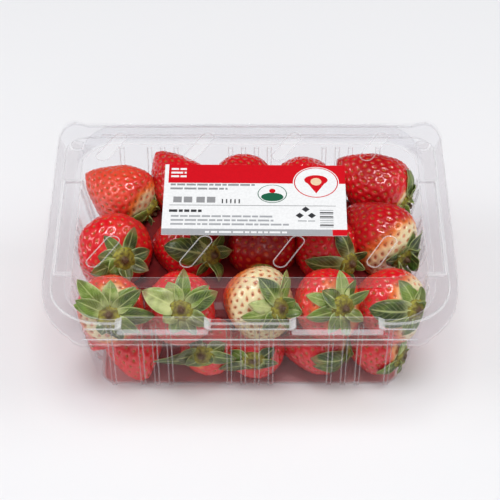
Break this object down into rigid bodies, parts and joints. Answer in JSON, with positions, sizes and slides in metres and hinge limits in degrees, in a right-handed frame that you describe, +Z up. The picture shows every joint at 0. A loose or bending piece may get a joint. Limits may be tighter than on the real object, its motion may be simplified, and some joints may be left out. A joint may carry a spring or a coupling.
{
  "type": "clear punnet of strawberries",
  "caption": "Shut clear plastic punnet with a hinged vented lid, a plain label and strawberries heaped inside in two layers.",
  "frame": {"origin": "centre of the tray's flat underside", "axes": "+X along the long side to the right, +Y to the hinge at the back, +Z up"},
  "size_m": [0.196, 0.1548, 0.0766],
  "materials": {
    "clear_plastic": "clear, thin and glossy",
    "strawberry": "glossy red flesh with pale seeds and green leaves",
    "label_print": "satin white sticker with a red head band"
  },
  "bodies": {
    "base": {"tray": "clear_plastic", "berries": "strawberry"},
    "top": {"lid": "clear_plastic", "label": "label_print"}
  },
  "joints": [
    {"name": "lid_hinge", "type": "hinge", "parent": "base", "child": "top", "pos_m": [0, 0.079, 0.0555], "axis": [-1, 0, 0], "range_deg": [0, 180]}
  ]
}
